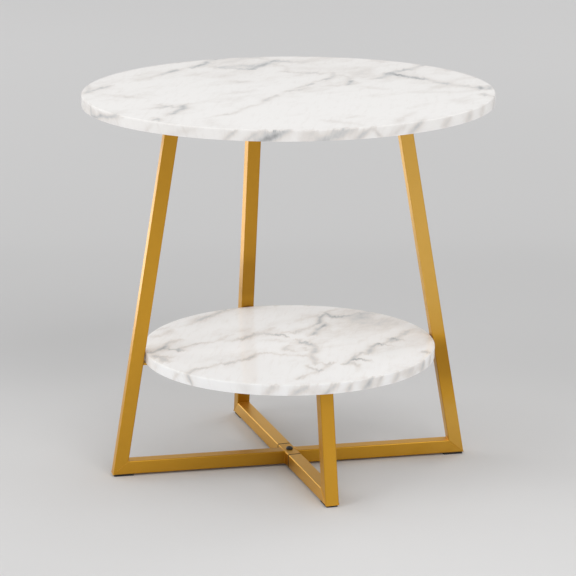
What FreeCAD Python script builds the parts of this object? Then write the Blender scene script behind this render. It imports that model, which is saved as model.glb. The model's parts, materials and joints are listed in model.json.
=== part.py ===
"""Round two-tier side table on a crossed frame of square steel tube.

Millimetres, +Z up, origin on the floor under the centre of the top. The open front is -Y: there the
short leg ends under the shelf. The tall legs stand at the left (-X), right (+X) and back (+Y), lean
inwards and carry the top. A radial piece is drawn in its own arm's frame, with local X pointing
outwards along the arm, and its placement turns it to the arm's bearing.
"""
import FreeCAD
import Part
import os
import Sketcher

SIZES = (
    ("table_height", 570.0, "floor to the surface of the top"),
    ("top_diameter", 600.0, "top, over its film"),
    ("shelf_diameter", 434.0, "shelf, over its film"),
    ("shelf_height", 189.0, "floor to the surface of the shelf"),
    ("core_thickness", 15.0, "fibreboard core of the top and the shelf"),
    ("core_edge_round", 1.5, "radius on the upper edge of a core"),
    ("film_thickness", 0.5, "marble film over a core"),
    ("tube_size", 20.0, "square tube, across its flats"),
    ("tube_wall", 1.2, "tube wall"),
    ("tube_corner", 1.5, "outside radius of the tube's long edges"),
    ("leg_lean", 9.5, "degrees that each leg leans inwards"),
    ("bar_skew", 6.0, "degrees that the side-to-side bar turns off square to the other"),
    ("rim_clearance", 0.5, "shelf rim to the tall legs"),
    ("front_leg_inset", 38.0, "shelf rim back to the outer face of the short leg"),
    ("hub_length", 50.0, "crossing hub, along the front-to-back bar"),
    ("seam_gap", 3.0, "open seam between the hub and each half bar"),
    ("tongue_embed", 30.0, "length of a tongue inside its half bar"),
    ("tongue_overlap", 15.0, "length of a tongue past the crossing bolt"),
    ("slip_clearance", 0.2, "tongue to the tube's inside, each side"),
    ("plate_thickness", 3.0, "steel strip of the plates and tabs"),
    ("plate_length", 80.0, "plate on a leg's upper end, across the arm"),
    ("plate_width", 30.0, "the same plate, along the arm"),
    ("plate_corner", 5.0, "corner radius of the plates and tabs"),
    ("plate_bolt_spacing", 54.0, "between the two bolts of a plate"),
    ("tab_reach", 36.0, "shelf tab, from the leg's inner face inwards"),
    ("tab_width", 20.0, "shelf tab, across the arm"),
    ("bolt_diameter", 6.0, "bolt shank"),
    ("bolt_head_diameter", 10.5, "button head"),
    ("bolt_head_height", 3.3, "button head"),
    ("bolt_head_round", 2.4, "radius on the head's crown"),
    ("bolt_key_size", 4.0, "hexagon socket, across its flats"),
    ("bolt_key_depth", 2.0, "hexagon socket"),
    ("hole_clearance", 0.3, "bolt to a plain hole, all round"),
    ("thread_clearance", 0.1, "bolt to a thread and insert to the core, all round"),
    ("nut_size", 10.0, "nut, across its flats"),
    ("nut_height", 5.0, "nut"),
    ("nut_gap", 0.6, "room under the nut inside the hub"),
    ("insert_diameter", 10.0, "threaded insert, outside"),
    ("insert_length", 12.0, "threaded insert"),
    ("bolt_tip_gap", 1.0, "bolt's tip to the insert's far end, and insert to the hole's end"),
    ("pad_height", 3.0, "foot pad"),
    ("pad_length", 30.0, "foot pad, along the arm"),
    ("pad_inset", 1.5, "foot pad back from the tube's faces"),
    ("pad_corner", 2.0, "corner radius of a foot pad"),
)

LAYOUT = (
    ("board_thickness", "sizes.core_thickness + sizes.film_thickness"),
    ("top_underside", "sizes.table_height - layout.board_thickness"),
    ("shelf_underside", "sizes.shelf_height - layout.board_thickness"),
    ("bar_top", "sizes.pad_height + sizes.tube_size"),
    ("cavity_size", "sizes.tube_size - 2 * sizes.tube_wall"),
    ("leg_width", "sizes.tube_size / cos(sizes.leg_lean)"),
    ("leg_wall", "sizes.tube_wall / cos(sizes.leg_lean)"),
    ("mitre_run", "sizes.tube_size / tan(45 - sizes.leg_lean / 2)"),
    ("shelf_to_floor", "tan(sizes.leg_lean) * (sizes.shelf_height - sizes.pad_height)"),
    ("foot_reach", "sizes.shelf_diameter / 2 + sizes.rim_clearance + layout.leg_width + layout.shelf_to_floor"),
    ("front_rise", "layout.shelf_underside - sizes.pad_height"),
    ("front_top_reach", "sizes.shelf_diameter / 2 - sizes.front_leg_inset"),
    ("front_foot_reach", "layout.front_top_reach + tan(sizes.leg_lean) * layout.front_rise"),
    ("leg_top", "layout.top_underside - sizes.plate_thickness"),
    ("front_leg_top", "layout.shelf_underside - sizes.plate_thickness"),
    ("half_bar_start", "sizes.hub_length / 2 + sizes.seam_gap"),
    ("tongue_thickness", "(layout.cavity_size - sizes.nut_height - sizes.nut_gap) / 2"),
    ("upper_tongue_base", "layout.bar_top - sizes.tube_wall - layout.tongue_thickness"),
    ("lower_tongue_base", "layout.upper_tongue_base - layout.tongue_thickness"),
    ("nut_base", "layout.lower_tongue_base - sizes.nut_height"),
    ("plain_hole", "sizes.bolt_diameter / 2 + sizes.hole_clearance"),
    ("thread_hole", "sizes.bolt_diameter / 2 + sizes.thread_clearance"),
    ("insert_hole", "sizes.insert_diameter / 2 + sizes.thread_clearance"),
    ("insert_hole_depth", "sizes.insert_length + sizes.bolt_tip_gap"),
    ("board_bolt_length", "sizes.plate_thickness + sizes.insert_length - sizes.bolt_tip_gap"),
    ("crossing_bolt_length", "sizes.tube_wall + 2 * layout.tongue_thickness + sizes.nut_height"),
)

# Bearing of each arm in degrees from +X, the reach of its foot and the height of its leg's upper end
ARMS = {
    "left": ("180 - sizes.bar_skew", "layout.foot_reach", "layout.leg_top"),
    "right": ("-sizes.bar_skew", "layout.foot_reach", "layout.leg_top"),
    "back": ("90", "layout.foot_reach", "layout.leg_top"),
    "front": ("-90", "layout.front_foot_reach", "layout.front_leg_top"),
}
TALL_ARMS = ("left", "right", "back")
UP = FreeCAD.Vector(0, 0, 1)
HEAD_DOWN = FreeCAD.Rotation(FreeCAD.Vector(1, 0, 0), 180)
PARALLEL = 1.0e-6

doc = FreeCAD.newDocument("tiered_side_table")
pieces = []


def write_sheets():
    """Writes the driving sizes and, in a second sheet, what follows from them."""
    sizes = doc.addObject("Spreadsheet::Sheet", "sizes")
    for row, (alias, number, note) in enumerate(SIZES, 1):
        sizes.set(f"A{row}", alias)
        sizes.set(f"B{row}", str(number))
        sizes.setAlias(f"B{row}", alias)
        sizes.set(f"C{row}", note)
    layout = doc.addObject("Spreadsheet::Sheet", "layout")
    for row, (alias, formula) in enumerate(LAYOUT, 1):
        layout.set(f"A{row}", alias)
        layout.setAlias(f"B{row}", alias)
        layout.set(f"B{row}", "=" + formula)
    doc.recompute()
    return layout


def value(expression):
    """Number that an expression over the sheets gives now."""
    result = sheet.evalExpression(expression)
    return float(getattr(result, "Value", result))


def turned(bearing):
    """Placement that turns an arm's frame to its bearing."""
    return FreeCAD.Placement(FreeCAD.Vector(), FreeCAD.Rotation(UP, value(bearing)))


def on_arm(arm, along, across):
    """X and Y expressions of a point given along and across an arm."""
    bearing = ARMS[arm][0]
    x = f"({along}) * cos({bearing}) - ({across}) * sin({bearing})"
    y = f"({along}) * sin({bearing}) + ({across}) * cos({bearing})"
    return x, y


def leg_face(arm, height):
    """Reach of a leg's outer face at a height."""
    return f"{ARMS[arm][1]} - tan(sizes.leg_lean) * ({height} - sizes.pad_height)"


def new_body(label):
    """Body of one sub-part."""
    body = doc.addObject("PartDesign::Body", label)
    body.Label = label
    return body


def keep(piece, placement=None):
    """Lists a finished sub-part and puts it in place."""
    if placement is not None:
        piece.Placement = placement
    pieces.append(piece)
    return piece


def new_sketch(body, role, raised=None):
    """Sketch on one of the body's origin planes, raised by an expression."""
    plane = next(feature for feature in body.Origin.OriginFeatures if feature.Role == role)
    sketch = body.newObject("Sketcher::SketchObject", body.Name + "_sketch")
    sketch.AttachmentSupport = [(plane, "")]
    sketch.MapMode = "FlatFace"
    if raised is not None:
        sketch.setExpression("AttachmentOffset.Base.z", raised)
    return sketch


def bind(sketch, kind, target, expression):
    """Adds a dimension to a sketch and binds it to the sheets."""
    index = sketch.addConstraint(Sketcher.Constraint(kind, *target, value(expression)))
    sketch.setExpression(f"Constraints[{index}]", expression)


def add_outline(sketch, corners):
    """Draws a closed outline with each corner at its two expressions."""
    points = [FreeCAD.Vector(value(x), value(y), 0) for x, y in corners]
    count = len(points)
    lines = [sketch.addGeometry(Part.LineSegment(points[i], points[(i + 1) % count])) for i in range(count)]
    for i, line in enumerate(lines):
        sketch.addConstraint(Sketcher.Constraint("Coincident", line, 2, lines[(i + 1) % count], 1))
        bind(sketch, "DistanceX", (line, 1), corners[i][0])
        bind(sketch, "DistanceY", (line, 1), corners[i][1])


def add_circle(sketch, radius, centre=None):
    """Draws a circle about the origin, or about a centre given by two expressions."""
    place = FreeCAD.Vector() if centre is None else FreeCAD.Vector(value(centre[0]), value(centre[1]), 0)
    circle = sketch.addGeometry(Part.Circle(place, UP, value(radius)))
    bind(sketch, "Radius", (circle,), radius)
    if centre is None:
        sketch.addConstraint(Sketcher.Constraint("Coincident", circle, 3, -1, 1))
    else:
        bind(sketch, "DistanceX", (circle, 3), centre[0])
        bind(sketch, "DistanceY", (circle, 3), centre[1])


def extrude(body, kind, sketch, length, symmetric=False, reverse=False):
    """Pads or pockets a sketch by an expression."""
    feature = body.newObject("PartDesign::" + kind, body.Name + "_" + kind.lower())
    feature.Profile = sketch
    feature.setExpression("Length", length)
    feature.SideType = "Symmetric" if symmetric else "One side"
    feature.Reversed = reverse
    doc.recompute()
    return feature


def round_edges(body, radius, chosen):
    """Fillets the edges of a body's newest feature that a test picks."""
    base = body.Tip
    names = [f"Edge{i}" for i, edge in enumerate(base.Shape.Edges, 1) if chosen(base.Shape, edge)]
    fillet = body.newObject("PartDesign::Fillet", body.Name + "_fillet")
    fillet.Base = (base, names)
    fillet.setExpression("Radius", radius)
    doc.recompute()


def runs_along(direction):
    """Test for the straight corner edges that run in one direction."""
    def chosen(shape, edge):
        if not isinstance(edge.Curve, Part.Line):
            return False
        flat = all(isinstance(face.Surface, Part.Plane) for face in shape.ancestorsOfType(edge, Part.Face))
        return flat and edge.Curve.Direction.cross(direction).Length < PARALLEL
    return chosen


def rim_at(height, radius):
    """Test for the round edge of a radius at a height in the body."""
    def chosen(shape, edge):
        if not isinstance(edge.Curve, Part.Circle):
            return False
        level = abs(edge.Curve.Center.z - value(height)) < PARALLEL
        return level and abs(edge.Curve.Radius - value(radius)) < PARALLEL
    return chosen


def flat_piece(label, outline, holes, base, thickness, corner=None):
    """Flat piece cut from a plan outline with round holes (radius, centre), standing on a height."""
    body = new_body(label)
    sketch = new_sketch(body, "XY_Plane", base)
    add_outline(sketch, outline)
    for radius, centre in holes:
        add_circle(sketch, radius, centre)
    extrude(body, "Pad", sketch, thickness)
    if corner is not None:
        round_edges(body, corner, runs_along(UP))
    return body


def tube(label, profile, cavity, direction):
    """Square tube from its sawn side profile, with rounded long edges and its cavity."""
    body = new_body(label)
    side = new_sketch(body, "XZ_Plane")
    add_outline(side, profile)
    extrude(body, "Pad", side, "sizes.tube_size", symmetric=True)
    round_edges(body, "sizes.tube_corner", runs_along(direction))
    hollow = new_sketch(body, "XZ_Plane")
    add_outline(hollow, cavity)
    extrude(body, "Pocket", hollow, "layout.cavity_size", symmetric=True)
    return body


def box_corners(low_x, high_x, low_y, high_y):
    """Outline of a rectangle from four expressions."""
    return ((low_x, low_y), (high_x, low_y), (high_x, high_y), (low_x, high_y))


def hexagon(across):
    """Outline of a hexagon from the expression of its width across flats."""
    corner = f"{across} / 2 / cos(30)"
    return tuple((f"{corner} * cos({turn})", f"{corner} * sin({turn})") for turn in range(0, 360, 60))


def leg(arm):
    """Leaning leg, mitred to its floor bar and sawn level under its plate."""
    foot, top = ARMS[arm][1:]
    over = f"({top} + sizes.tube_size)"
    outer_top = leg_face(arm, top)
    outer_over = leg_face(arm, over)
    profile = (
        (foot, "sizes.pad_height"),
        (f"{foot} - layout.mitre_run", "layout.bar_top"),
        (f"{outer_top} - layout.leg_width", top),
        (outer_top, top),
    )
    cavity = (
        (f"{foot} - layout.leg_wall", "sizes.pad_height"),
        (f"{foot} - layout.leg_width + layout.leg_wall", "sizes.pad_height"),
        (f"{outer_over} - layout.leg_width + layout.leg_wall", over),
        (f"{outer_over} - layout.leg_wall", over),
    )
    lean = FreeCAD.Rotation(FreeCAD.Vector(0, 1, 0), -value("sizes.leg_lean"))
    return keep(tube(arm + "_leg", profile, cavity, lean.multVec(UP)), turned(ARMS[arm][0]))


def floor_bar(arm):
    """Half of a floor bar, from the mitre at its foot to the crossing hub."""
    bearing, foot = ARMS[arm][:2]
    welded = arm in ("left", "right")
    start = "sizes.tube_size / 4" if welded else "layout.half_bar_start"
    profile = (
        (start, "sizes.pad_height"),
        (foot, "sizes.pad_height"),
        (f"{foot} - layout.mitre_run", "layout.bar_top"),
        (start, "layout.bar_top"),
    )
    cavity = box_corners(
        f"{start} - sizes.tube_wall", foot,
        "sizes.pad_height + sizes.tube_wall", "layout.bar_top - sizes.tube_wall",
    )
    body = tube(arm + "_bar", profile, cavity, FreeCAD.Vector(1, 0, 0))
    if welded:
        saw_to_hub(body)
    return keep(body, turned(bearing))


def saw_to_hub(body):
    """Saws a welded half bar to the plane of the hub's side."""
    half = "sizes.tube_size"
    near = f"(sizes.tube_size / 2 - {half} * sin(sizes.bar_skew)) / cos(sizes.bar_skew)"
    far = f"(sizes.tube_size / 2 + {half} * sin(sizes.bar_skew)) / cos(sizes.bar_skew)"
    sketch = new_sketch(body, "XY_Plane")
    add_outline(sketch, (("-sizes.tube_size", f"-{half}"), (far, f"-{half}"), (near, half), ("-sizes.tube_size", half)))
    extrude(body, "Pocket", sketch, "2 * (layout.bar_top + sizes.tube_size)", symmetric=True)


def crossing():
    """Hub in the middle of the frame, the two tongues that meet in it, and their nut."""
    half = "sizes.hub_length / 2"
    body = tube(
        "crossing_hub",
        box_corners(f"-{half}", half, "sizes.pad_height", "layout.bar_top"),
        box_corners(
            "-sizes.hub_length", "sizes.hub_length",
            "sizes.pad_height + sizes.tube_wall", "layout.bar_top - sizes.tube_wall",
        ),
        FreeCAD.Vector(1, 0, 0),
    )
    hole = new_sketch(body, "XY_Plane", "layout.bar_top")
    add_circle(hole, "layout.plain_hole")
    extrude(body, "Pocket", hole, "2 * sizes.tube_wall")
    keep(body, turned(ARMS["back"][0]))
    side = "(layout.cavity_size / 2 - sizes.slip_clearance)"
    outline = box_corners(
        "-sizes.tongue_overlap", "layout.half_bar_start + sizes.tongue_embed", f"-{side}", side
    )
    bolt_hole = (("layout.plain_hole", None),)
    for arm, base in (("back", "layout.upper_tongue_base"), ("front", "layout.lower_tongue_base")):
        tongue = flat_piece(arm + "_tongue", outline, bolt_hole, base, "layout.tongue_thickness")
        keep(tongue, turned(ARMS[arm][0]))
    thread = (("layout.thread_hole", None),)
    keep(flat_piece("crossing_nut", hexagon("sizes.nut_size"), thread, "layout.nut_base", "sizes.nut_height"))


def plate_centre(arm):
    """Reach of the middle of a leg's sawn upper end."""
    return f"({leg_face(arm, ARMS[arm][2])} - layout.leg_width / 2)"


def tab_bolt_reach(arm):
    """Reach of a shelf tab's bolt."""
    return f"({leg_face(arm, 'layout.shelf_underside')} - layout.leg_width - sizes.tab_reach / 2)"


def leg_plate(label, arm):
    """Plate welded on a leg's upper end, with a bolt hole on each side of the tube."""
    middle = plate_centre(arm)
    width, length = "sizes.plate_width / 2", "sizes.plate_length / 2"
    outline = box_corners(f"{middle} - {width}", f"{middle} + {width}", f"-{length}", length)
    spread = "sizes.plate_bolt_spacing / 2"
    holes = [("layout.plain_hole", (middle, side + spread)) for side in ("-", "")]
    body = flat_piece(label, outline, holes, ARMS[arm][2], "sizes.plate_thickness", "sizes.plate_corner")
    return keep(body, turned(ARMS[arm][0]))


def shelf_tab(arm):
    """Tab welded to a tall leg's inner face, under the shelf, with one bolt hole."""
    above, below = "layout.shelf_underside", "(layout.shelf_underside - sizes.plate_thickness)"
    face_above = f"{leg_face(arm, above)} - layout.leg_width"
    face_below = f"{leg_face(arm, below)} - layout.leg_width"
    tip = f"{face_above} - sizes.tab_reach"
    body = new_body(arm + "_shelf_tab")
    side = new_sketch(body, "XZ_Plane")
    add_outline(side, ((tip, below), (face_below, below), (face_above, above), (tip, above)))
    extrude(body, "Pad", side, "sizes.tab_width", symmetric=True)
    round_edges(body, "sizes.plate_corner", runs_along(UP))
    hole = new_sketch(body, "XY_Plane", above)
    add_circle(hole, "layout.plain_hole", (tab_bolt_reach(arm), "0"))
    extrude(body, "Pocket", hole, "2 * sizes.plate_thickness")
    return keep(body, turned(ARMS[arm][0]))


def foot_pad(arm):
    """Pad under the outer end of a floor bar."""
    bearing, foot = ARMS[arm][:2]
    outer = f"({foot} - sizes.pad_inset)"
    side = "(sizes.tube_size / 2 - sizes.pad_inset)"
    outline = box_corners(f"{outer} - sizes.pad_length", outer, f"-{side}", side)
    body = flat_piece(arm + "_foot_pad", outline, (), "0", "sizes.pad_height", "sizes.pad_corner")
    return keep(body, turned(bearing))


def board(label, diameter, underside, bolt_places):
    """Fibreboard core with its insert holes, and the marble film wrapped over its top and rim."""
    core_radius = f"({diameter} / 2 - sizes.film_thickness)"
    core = new_body(label + "_core")
    disc = new_sketch(core, "XY_Plane")
    add_circle(disc, core_radius)
    extrude(core, "Pad", disc, "sizes.core_thickness")
    round_edges(core, "sizes.core_edge_round", rim_at("sizes.core_thickness", core_radius))
    holes = new_sketch(core, "XY_Plane")
    for place in bolt_places:
        add_circle(holes, "layout.insert_hole", place)
    extrude(core, "Pocket", holes, "layout.insert_hole_depth", reverse=True)
    film = new_body(label + "_film")
    cover = new_sketch(film, "XY_Plane")
    add_circle(cover, f"{diameter} / 2")
    extrude(film, "Pad", cover, "layout.board_thickness")
    inside = new_sketch(film, "XY_Plane")
    add_circle(inside, core_radius)
    extrude(film, "Pocket", inside, "sizes.core_thickness", reverse=True)
    round_edges(film, "sizes.core_edge_round", rim_at("sizes.core_thickness", core_radius))
    outer_round = "sizes.core_edge_round + sizes.film_thickness"
    round_edges(film, outer_round, rim_at("layout.board_thickness", f"{diameter} / 2"))
    for body in (core, film):
        body.setExpression("Placement.Base.z", underside)
        keep(body)


def bolt(label, length):
    """Button-head bolt standing head up, with the underside of its head at the origin."""
    body = new_body(label)
    shank = new_sketch(body, "XY_Plane")
    add_circle(shank, "sizes.bolt_diameter / 2")
    extrude(body, "Pad", shank, length, reverse=True)
    head = new_sketch(body, "XY_Plane")
    add_circle(head, "sizes.bolt_head_diameter / 2")
    extrude(body, "Pad", head, "sizes.bolt_head_height")
    round_edges(body, "sizes.bolt_head_round", rim_at("sizes.bolt_head_height", "sizes.bolt_head_diameter / 2"))
    socket = new_sketch(body, "XY_Plane", "sizes.bolt_head_height")
    add_outline(socket, hexagon("sizes.bolt_key_size"))
    extrude(body, "Pocket", socket, "sizes.bolt_key_depth")
    return body


def insert(label):
    """Threaded insert with its open end at the origin."""
    body = new_body(label)
    ring = new_sketch(body, "XY_Plane")
    add_circle(ring, "sizes.insert_diameter / 2")
    add_circle(ring, "layout.thread_hole")
    extrude(body, "Pad", ring, "sizes.insert_length")
    return body


def group(label, pattern, places, height, rotation=FreeCAD.Rotation()):
    """One sub-part made of copies of a pattern at several places and one height."""
    copies = []
    for x, y in places:
        copy = doc.addObject("App::Link", label + "_copy")
        copy.LinkedObject = pattern
        copy.Placement = FreeCAD.Placement(FreeCAD.Vector(), rotation)
        copy.setExpression("Placement.Base.x", x)
        copy.setExpression("Placement.Base.y", y)
        copy.setExpression("Placement.Base.z", height)
        copies.append(copy)
    compound = doc.addObject("Part::Compound", label)
    compound.Label = label
    compound.Links = copies
    return keep(compound)


def build():
    """Builds every sub-part, from the floor upwards."""
    for arm in ARMS:
        foot_pad(arm)
        floor_bar(arm)
        leg(arm)
    crossing()
    crossing_bolt = keep(bolt("crossing_bolt", "layout.crossing_bolt_length"))
    crossing_bolt.setExpression("Placement.Base.z", "layout.bar_top")
    for arm in TALL_ARMS:
        shelf_tab(arm)
        leg_plate(arm + "_top_plate", arm)
    leg_plate("front_shelf_plate", "front")
    spreads = ("-sizes.plate_bolt_spacing / 2", "sizes.plate_bolt_spacing / 2")
    top_places = [on_arm(arm, plate_centre(arm), spread) for arm in TALL_ARMS for spread in spreads]
    shelf_places = [on_arm(arm, tab_bolt_reach(arm), "0") for arm in TALL_ARMS]
    shelf_places += [on_arm("front", plate_centre("front"), spread) for spread in spreads]
    board("shelf", "sizes.shelf_diameter", "layout.shelf_underside", shelf_places)
    board("table_top", "sizes.top_diameter", "layout.top_underside", top_places)
    board_bolt = bolt("board_bolt_pattern", "layout.board_bolt_length")
    board_insert = insert("board_insert_pattern")
    group("shelf_bolts", board_bolt, shelf_places, "layout.front_leg_top", HEAD_DOWN)
    group("shelf_inserts", board_insert, shelf_places, "layout.shelf_underside")
    group("table_top_bolts", board_bolt, top_places, "layout.leg_top", HEAD_DOWN)
    group("table_top_inserts", board_insert, top_places, "layout.top_underside")
    doc.recompute()


def export():
    """Checks every object of the document and writes each sub-part to its own file."""
    for item in doc.Objects:
        if any(word in item.State for word in ("Invalid", "Error")):
            raise RuntimeError(f"{item.Label} failed: {item.State}")
    os.makedirs("parts", exist_ok=True)
    for piece in pieces:
        shape = piece.Shape
        if shape.isNull() or not shape.isValid() or not shape.Solids:
            raise RuntimeError(f"{piece.Label} has no valid solid")
        shape.exportStep(os.path.join("parts", piece.Label + ".step"))
        print(f"{piece.Label}: {len(shape.Solids)} solid(s), {shape.Volume / 1000:.2f} cm3")


sheet = write_sheets()
build()
export()
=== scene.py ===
"""Looks of a round two-tier side table: marble-film boards on a crossed frame of gold square tube.

Lengths are in metres and angles in degrees, in the part's own frame: the floor at z = 0, +Z up, the open
front towards -Y and the centre of both boards on the Z axis. Bearings are taken from +X. Veins are drawn
in millimetres, with their strength in per cent.
"""
import json
import logging
import math
from abc import ABC, abstractmethod
from dataclasses import dataclass
from enum import Enum
from typing import Callable, Optional, Sequence, Union

import bpy
from bpy.types import Material, Node, NodeSocket, Object
from mathutils import Matrix, Vector

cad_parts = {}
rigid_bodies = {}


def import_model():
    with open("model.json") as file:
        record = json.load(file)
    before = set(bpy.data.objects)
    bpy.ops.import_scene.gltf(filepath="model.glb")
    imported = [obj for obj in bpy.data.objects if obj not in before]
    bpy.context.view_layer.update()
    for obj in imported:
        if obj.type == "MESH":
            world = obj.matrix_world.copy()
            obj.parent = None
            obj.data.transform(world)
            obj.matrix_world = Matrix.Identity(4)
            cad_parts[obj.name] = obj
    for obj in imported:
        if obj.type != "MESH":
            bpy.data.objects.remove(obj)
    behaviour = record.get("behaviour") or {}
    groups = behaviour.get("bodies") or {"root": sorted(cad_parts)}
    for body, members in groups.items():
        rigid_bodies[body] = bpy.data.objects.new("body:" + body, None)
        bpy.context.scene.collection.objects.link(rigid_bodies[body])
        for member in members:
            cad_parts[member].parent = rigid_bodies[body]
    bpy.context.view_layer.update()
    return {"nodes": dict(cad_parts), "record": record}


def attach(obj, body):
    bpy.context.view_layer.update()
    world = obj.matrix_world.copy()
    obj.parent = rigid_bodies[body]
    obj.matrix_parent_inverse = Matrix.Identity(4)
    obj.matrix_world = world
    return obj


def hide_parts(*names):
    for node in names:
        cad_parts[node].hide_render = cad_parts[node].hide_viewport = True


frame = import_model()

LOG = logging.getLogger("side_table")
BODY = "root"
MM_PER_METRE = 1000.0
FULL_STRENGTH = 100.0
TOP_RADIUS = 0.300
TOP_SURFACE = 0.570
SHELF_RADIUS = 0.217
SHELF_SURFACE = 0.189
BOARD_THICKNESS = 0.0155
FINE_RELIEF = 0.00002
# Range that a noise mostly keeps to.
NOISE_LOW = 0.3
NOISE_HIGH = 0.7

Feed = Union[NodeSocket, float, Sequence[float]]
Colour = tuple[float, float, float]
Place = tuple[float, float, float]
Line = tuple[Union[float, tuple[float, ...]], ...]
Mark = tuple[float, float, float, float]


class Slot(Enum):
    """Material slots of the part."""

    MARBLE = "marble_film"
    CORE = "board_core"
    GOLD = "gold_steel"
    BLACK = "black_steel"
    ZINC = "zinc_steel"
    RUBBER = "foot_rubber"


class Arm(Enum):
    """Arms of the crossed frame, with the bearing of each."""

    LEFT = 174.0
    RIGHT = -6.0
    BACK = 90.0
    FRONT = -90.0


class Run(Enum):
    """Ways to measure a place: by its height, or by its reach from the middle of the table."""

    HEIGHT = (0.0, 0.0, 1.0)
    REACH = (1.0, 1.0, 0.0)


class Graph:
    """Nodes of one material, added step by step."""

    def __init__(self, name: str) -> None:
        """Starts a material with a plain shader and its object coordinates.

        Args:
            name: Name of the material.
        """
        self.material: Material = bpy.data.materials.new(name)
        self.material.use_nodes = True
        self.tree = self.material.node_tree
        self.shader: Node = self.tree.nodes["Principled BSDF"]
        self.place: NodeSocket = self.add("ShaderNodeTexCoord").outputs["Object"]

    def add(self, kind: str, **settings: object) -> Node:
        """Adds a node.

        Args:
            kind: Blender's name of the node type.
            settings: Properties to set on the node.

        Returns:
            The new node.
        """
        node = self.tree.nodes.new(kind)
        for key, value in settings.items():
            setattr(node, key, value)
        return node

    def feed(self, socket: NodeSocket, value: Feed) -> None:
        """Links a socket to another one, or sets its own value.

        Args:
            socket: Input that takes the value.
            value: Another node's output, or a plain value.
        """
        if isinstance(value, NodeSocket):
            self.tree.links.new(value, socket)
        else:
            socket.default_value = value

    def math(self, operation: str, *values: Feed, clamp: bool = False) -> NodeSocket:
        """Adds a step of arithmetic.

        Args:
            operation: Blender's name of the operation.
            values: One to three inputs.
            clamp: Whether the result is kept from 0 to 1.

        Returns:
            The result.
        """
        node = self.add("ShaderNodeMath", operation=operation, use_clamp=clamp)
        for socket, value in zip(node.inputs, values):
            self.feed(socket, value)
        return node.outputs[0]

    def vector(self, operation: str, first: Feed, second: Optional[Feed] = None) -> NodeSocket:
        """Adds a step of vector arithmetic.

        Args:
            operation: Blender's name of the operation.
            first: First vector.
            second: Second vector, or the factor of a SCALE.

        Returns:
            The result, a number for LENGTH and DOT_PRODUCT.
        """
        node = self.add("ShaderNodeVectorMath", operation=operation)
        self.feed(node.inputs[0], first)
        if second is not None:
            self.feed(node.inputs["Scale" if operation == "SCALE" else 1], second)
        return node.outputs["Value" if operation in ("LENGTH", "DOT_PRODUCT") else "Vector"]

    def brushed(self, at: NodeSocket, bearing: float, along: float, across: float) -> NodeSocket:
        """Turns and stretches places, so that what is read there runs in one direction.

        Args:
            at: Places to turn.
            bearing: Bearing of that direction.
            along: Features per metre in that direction.
            across: Features per metre square to it.

        Returns:
            The turned places.
        """
        node = self.add("ShaderNodeMapping", vector_type="TEXTURE")
        self.feed(node.inputs["Vector"], at)
        self.feed(node.inputs["Rotation"], (0.0, 0.0, math.radians(bearing)))
        self.feed(node.inputs["Scale"], (1.0 / along, 1.0 / across, 1.0))
        return node.outputs["Vector"]

    def noise(self, at: NodeSocket, scale: float, detail: float = 2.0, rough: float = 0.5,
              output: str = "Fac") -> NodeSocket:
        """Adds a noise texture.

        Args:
            at: Where to read it.
            scale: Features per metre.
            detail: Number of finer layers.
            rough: Share that each finer layer keeps.
            output: Which output of the texture to take.

        Returns:
            The noise.
        """
        node = self.add("ShaderNodeTexNoise")
        self.feed(node.inputs["Vector"], at)
        self.feed(node.inputs["Scale"], scale)
        self.feed(node.inputs["Detail"], detail)
        self.feed(node.inputs["Roughness"], rough)
        return node.outputs[output]

    def span(self, value: NodeSocket, low: float, high: float, start: float, end: float) -> NodeSocket:
        """Maps a range of a value smoothly to another one, held at its ends.

        Args:
            value: Value to map.
            low: Value that gives start.
            high: Value that gives end.
            start: Result at low.
            end: Result at high.

        Returns:
            The mapped value.
        """
        node = self.add("ShaderNodeMapRange", interpolation_type="SMOOTHSTEP")
        for socket, number in zip(node.inputs, (value, low, high, start, end)):
            self.feed(socket, number)
        return node.outputs["Result"]

    def ramp(self, value: NodeSocket, stops: Sequence[tuple[float, Colour]]) -> NodeSocket:
        """Turns a value into a colour.

        Args:
            value: Value from 0 to 1.
            stops: Positions with their colours, in rising order.

        Returns:
            The colour.
        """
        node = self.add("ShaderNodeValToRGB")
        elements = node.color_ramp.elements
        while len(elements) < len(stops):
            elements.new(1.0)
        for element, (position, colour) in zip(elements, stops):
            element.position = position
            element.color = (*colour, 1.0)
        self.feed(node.inputs["Fac"], value)
        return node.outputs["Color"]

    def curve(self, at: NodeSocket, points: Sequence[tuple[float, float]]) -> NodeSocket:
        """Reads a smooth curve through points from 0 to 1.

        Args:
            at: Where to read the curve.
            points: Points of the curve, in rising order.

        Returns:
            The curve's height there.
        """
        node = self.add("ShaderNodeFloatCurve")
        node.mapping.extend = "HORIZONTAL"
        line = node.mapping.curves[0]
        line.points[0].location = points[0]
        line.points[-1].location = points[-1]
        for x, y in points[1:-1]:
            line.points.new(x, y)
        node.mapping.update()
        self.feed(node.inputs["Value"], at)
        return node.outputs["Value"]

    def profile(self, at: NodeSocket, points: Sequence[tuple[float, float]]) -> NodeSocket:
        """Reads a smooth curve through points at any places.

        Args:
            at: Where to read the curve.
            points: Points of the curve, in rising order.

        Returns:
            The curve's height there.
        """
        first, last = points[0][0], points[-1][0]
        step = self.math("DIVIDE", self.math("SUBTRACT", at, first), last - first)
        return self.curve(step, [((place - first) / (last - first), height) for place, height in points])

    def bump(self, height: NodeSocket, depth: float) -> None:
        """Gives the shader a fine relief.

        Args:
            height: Height of the relief from 0 to 1.
            depth: Depth of the relief.
        """
        node = self.add("ShaderNodeBump")
        self.feed(node.inputs["Distance"], depth)
        self.feed(node.inputs["Height"], height)
        self.feed(self.shader.inputs["Normal"], node.outputs["Normal"])

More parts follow.
